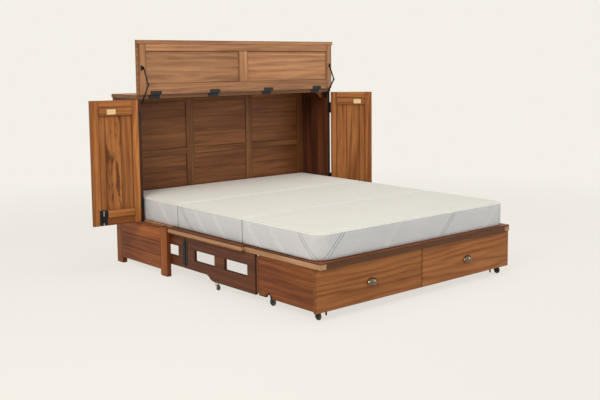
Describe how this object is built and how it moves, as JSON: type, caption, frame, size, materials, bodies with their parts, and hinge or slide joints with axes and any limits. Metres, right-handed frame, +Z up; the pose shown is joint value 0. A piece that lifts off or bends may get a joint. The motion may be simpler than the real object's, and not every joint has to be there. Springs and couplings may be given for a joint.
{
  "type": "cabinet bed",
  "caption": "Double bed that folds away into a low panelled cabinet, with hinged lid, side wings, folding side frames and a drawer trolley.",
  "frame": {"origin": "floor, wall plane and middle plane meet: x = 0 is the middle of the cabinet, y = 0 its back, z = 0 the floor", "axes": "+Z up, +Y towards the wall, +X to the right of someone facing the cabinet"},
  "size_m": [2.2064, 2.0883, 1.482],
  "materials": {
    "oak_outer": "oiled warm brown boards",
    "oak_lid": "paler lid and top",
    "oak_inside": "dark inside faces",
    "frame_wood": "dark reddish folding frames",
    "deck_skin": "thin reddish deck boards",
    "deck_rail": "pale deck rails",
    "box_wood": "plain drawer boards",
    "black_iron": "black satin",
    "bright_steel": "brushed",
    "brass": "satin",
    "bronze": "dark bronze",
    "wheel_rubber": "matt",
    "ticking": "ivory knit with grey sides"
  },
  "bodies": {
    "cabinet": {"base_posts": "oak_outer", "base_sides": "oak_outer", "base_rails": "oak_inside", "head_deck": "deck_rail", "upper_sides": "oak_outer", "back_frame": "oak_inside", "back_boards": "oak_inside", "rear_top": "oak_lid", "cabinet_hardware": "black_iron"},
    "lid": {"lid_board": "oak_lid", "lid_frame": "oak_lid", "lid_panels": "oak_lid", "lid_hinge_leaves": "black_iron"},
    "stay_upper_left": {"stay_upper_left": "black_iron"},
    "stay_lower_left": {"stay_lower_left": "black_iron"},
    "wing_left": {"wing_frame_left": "oak_outer", "wing_boards_left": "oak_outer", "wing_plate_left": "brass", "wing_hardware_left": "black_iron"},
    "bolt_left": {"bolt_rod_left": "bright_steel"},
    "frame_a_left": {"frame_a_left": "frame_wood", "frame_a_leaves_left": "black_iron"},
    "frame_b_left": {"frame_b_left": "frame_wood", "frame_b_leaves_left": "black_iron"},
    "caster_swivel_left": {"caster_swivel_left": "bright_steel"},
    "caster_wheel_left": {"caster_wheel_left": "wheel_rubber"},
    "drawer_left": {"drawer_front_left": "oak_outer", "drawer_box_left": "box_wood", "drawer_pull_left": "bronze"},
    "stay_upper_right": {"stay_upper_right": "black_iron"},
    "stay_lower_right": {"stay_lower_right": "black_iron"},
    "wing_right": {"wing_frame_right": "oak_outer", "wing_boards_right": "oak_outer", "wing_plate_right": "brass", "wing_hardware_right": "black_iron"},
    "bolt_right": {"bolt_rod_right": "bright_steel"},
    "frame_a_right": {"frame_a_right": "frame_wood", "frame_a_leaves_right": "black_iron"},
    "frame_b_right": {"frame_b_right": "frame_wood", "frame_b_leaves_right": "black_iron"},
    "caster_swivel_right": {"caster_swivel_right": "bright_steel"},
    "caster_wheel_right": {"caster_wheel_right": "wheel_rubber"},
    "drawer_right": {"drawer_front_right": "oak_outer", "drawer_box_right": "box_wood", "drawer_pull_right": "bronze"},
    "trolley": {"trolley_sides": "oak_outer", "trolley_carcass": "frame_wood", "trolley_hardware": "black_iron"},
    "wheels_rear": {"wheels_rear": "wheel_rubber"},
    "wheels_front": {"wheels_front": "wheel_rubber"},
    "mid_deck": {"mid_deck_board": "deck_skin", "mid_deck_frame": "deck_rail", "front_panel_boards": "oak_outer", "mid_deck_leaves": "black_iron"},
    "foot_deck": {"foot_deck_board": "deck_skin", "foot_deck_frame": "deck_rail", "foot_deck_leaves": "black_iron"},
    "mattress_head": {"mattress_head": "ticking"},
    "mattress_mid": {"mattress_mid": "ticking"},
    "mattress_foot": {"mattress_foot": "ticking"}
  },
  "joints": [
    {"name": "lid_hinge", "type": "hinge", "parent": "cabinet", "child": "lid", "pos_m": [0, -0.326, 1.13], "axis": [1, 0, 0], "range_deg": [0, 90]},
    {"name": "stay_upper_left_pivot", "type": "hinge", "parent": "lid", "child": "stay_upper_left", "pos_m": [-0.782, -0.3585, 1.305], "axis": [1, 0, 0], "range_deg": [-37.17, 0]},
    {"name": "stay_lower_left_pivot", "type": "hinge", "parent": "cabinet", "child": "stay_lower_left", "pos_m": [-0.7785, -0.318, 1.076], "axis": [1, 0, 0], "range_deg": [0, 85.99]},
    {"name": "stay_upper_right_pivot", "type": "hinge", "parent": "lid", "child": "stay_upper_right", "pos_m": [0.782, -0.3585, 1.305], "axis": [1, 0, 0], "range_deg": [-37.17, 0]},
    {"name": "stay_lower_right_pivot", "type": "hinge", "parent": "cabinet", "child": "stay_lower_right", "pos_m": [0.7785, -0.318, 1.076], "axis": [1, 0, 0], "range_deg": [0, 85.99]},
    {"name": "wing_left_hinge", "type": "hinge", "parent": "cabinet", "child": "wing_left", "pos_m": [-0.817, -0.326, 0.7], "axis": [0, 0, 1], "range_deg": [0, 96.8]},
    {"name": "wing_right_hinge", "type": "hinge", "parent": "cabinet", "child": "wing_right", "pos_m": [0.817, -0.326, 0.7], "axis": [0, 0, -1], "range_deg": [-42, 55.1]},
    {"name": "bolt_left_slide", "type": "slide", "parent": "wing_left", "child": "bolt_left", "axis": [0, 0, -1], "range_m": [0, 0.018]},
    {"name": "bolt_right_slide", "type": "slide", "parent": "wing_right", "child": "bolt_right", "axis": [0, 0, -1], "range_m": [0, 0.018]},
    {"name": "trolley_fold", "type": "hinge", "parent": "cabinet", "child": "frame_a_right", "pos_m": [0.761, -0.073, 0.17], "axis": [0, 0, -1], "range_deg": [0, 90]},
    {"name": "middle_right_pivot", "type": "hinge", "parent": "frame_a_right", "child": "frame_b_right", "pos_m": [0.783, -0.7955, 0.17], "axis": [0, 0, 1], "range_deg": [0, 180]},
    {"name": "inner_left_pivot", "type": "hinge", "parent": "cabinet", "child": "frame_a_left", "pos_m": [-0.761, -0.073, 0.17], "axis": [0, 0, 1], "range_deg": [0, 90]},
    {"name": "middle_left_pivot", "type": "hinge", "parent": "frame_a_left", "child": "frame_b_left", "pos_m": [-0.783, -0.7955, 0.17], "axis": [0, 0, 1], "range_deg": [-180, 0]},
    {"name": "trolley_pivot", "type": "hinge", "parent": "frame_b_left", "child": "trolley", "pos_m": [-0.761, -1.518, 0.17], "axis": [0, 0, 1], "range_deg": [0, 90]},
    {"name": "caster_swivel_left_turn", "type": "hinge", "parent": "frame_b_left", "child": "caster_swivel_left", "pos_m": [-0.772, -1.12, 0.04], "axis": [0, 0, 1], "continuous": true},
    {"name": "caster_wheel_left_spin", "type": "hinge", "parent": "caster_swivel_left", "child": "caster_wheel_left", "pos_m": [-0.772, -1.132, 0.017], "axis": [1, 0, 0], "continuous": true},
    {"name": "caster_swivel_right_turn", "type": "hinge", "parent": "frame_b_right", "child": "caster_swivel_right", "pos_m": [0.772, -1.12, 0.04], "axis": [0, 0, 1], "continuous": true},
    {"name": "caster_wheel_right_spin", "type": "hinge", "parent": "caster_swivel_right", "child": "caster_wheel_right", "pos_m": [0.772, -1.132, 0.017], "axis": [1, 0, 0], "continuous": true},
    {"name": "wheels_rear_spin", "type": "hinge", "parent": "trolley", "child": "wheels_rear", "pos_m": [0, -1.628, 0.0215], "axis": [1, 0, 0], "continuous": true},
    {"name": "wheels_front_spin", "type": "hinge", "parent": "trolley", "child": "wheels_front", "pos_m": [0, -2.016, 0.0215], "axis": [1, 0, 0], "continuous": true},
    {"name": "drawer_left_slide", "type": "slide", "parent": "trolley", "child": "drawer_left", "axis": [0, -1, 0], "range_m": [0, 0.42]},
    {"name": "drawer_right_slide", "type": "slide", "parent": "trolley", "child": "drawer_right", "axis": [0, -1, 0], "range_m": [0, 0.42]},
    {"name": "bed_fold", "type": "hinge", "parent": "cabinet", "child": "mid_deck", "pos_m": [0, -0.643, 0.3185], "axis": [-1, 0, 0], "range_deg": [0, 90], "deforming": ["mattress_head", "mattress_mid", "mattress_foot"]},
    {"name": "foot_deck_fold", "type": "hinge", "parent": "mid_deck", "child": "foot_deck", "pos_m": [0, -1.425, 0.3185], "axis": [-1, 0, 0], "range_deg": [0, 180]},
    {"name": "mattress_head_fold", "type": "hinge", "parent": "cabinet", "child": "mattress_head", "pos_m": [0, -0.10465, 0.39565], "axis": [-1, 0, 0], "range_deg": [0, 90]},
    {"name": "mattress_mid_fold", "type": "hinge", "parent": "mattress_head", "child": "mattress_mid", "pos_m": [0, -0.7053, 0.318], "axis": [-1, 0, 0], "range_deg": [-180, 0]},
    {"name": "mattress_foot_fold", "type": "hinge", "parent": "mattress_mid", "child": "mattress_foot", "pos_m": [0, -1.3829, 0.4726], "axis": [-1, 0, 0], "range_deg": [0, 180]}
  ],
  "couplings": [
    {"joint": "stay_upper_left_pivot", "follows": "lid_hinge", "ratio": -0.41191},
    {"joint": "stay_lower_left_pivot", "follows": "lid_hinge", "ratio": 0.95439},
    {"joint": "stay_upper_right_pivot", "follows": "lid_hinge", "ratio": -0.41191},
    {"joint": "stay_lower_right_pivot", "follows": "lid_hinge", "ratio": 0.95439},
    {"joint": "middle_right_pivot", "follows": "trolley_fold", "ratio": 2},
    {"joint": "inner_left_pivot", "follows": "trolley_fold", "ratio": 1},
    {"joint": "middle_left_pivot", "follows": "trolley_fold", "ratio": -2},
    {"joint": "trolley_pivot", "follows": "trolley_fold", "ratio": 1},
    {"joint": "foot_deck_fold", "follows": "bed_fold", "ratio": 2},
    {"joint": "mattress_head_fold", "follows": "bed_fold", "ratio": 1},
    {"joint": "mattress_mid_fold", "follows": "bed_fold", "ratio": -2},
    {"joint": "mattress_foot_fold", "follows": "bed_fold", "ratio": 2}
  ]
}
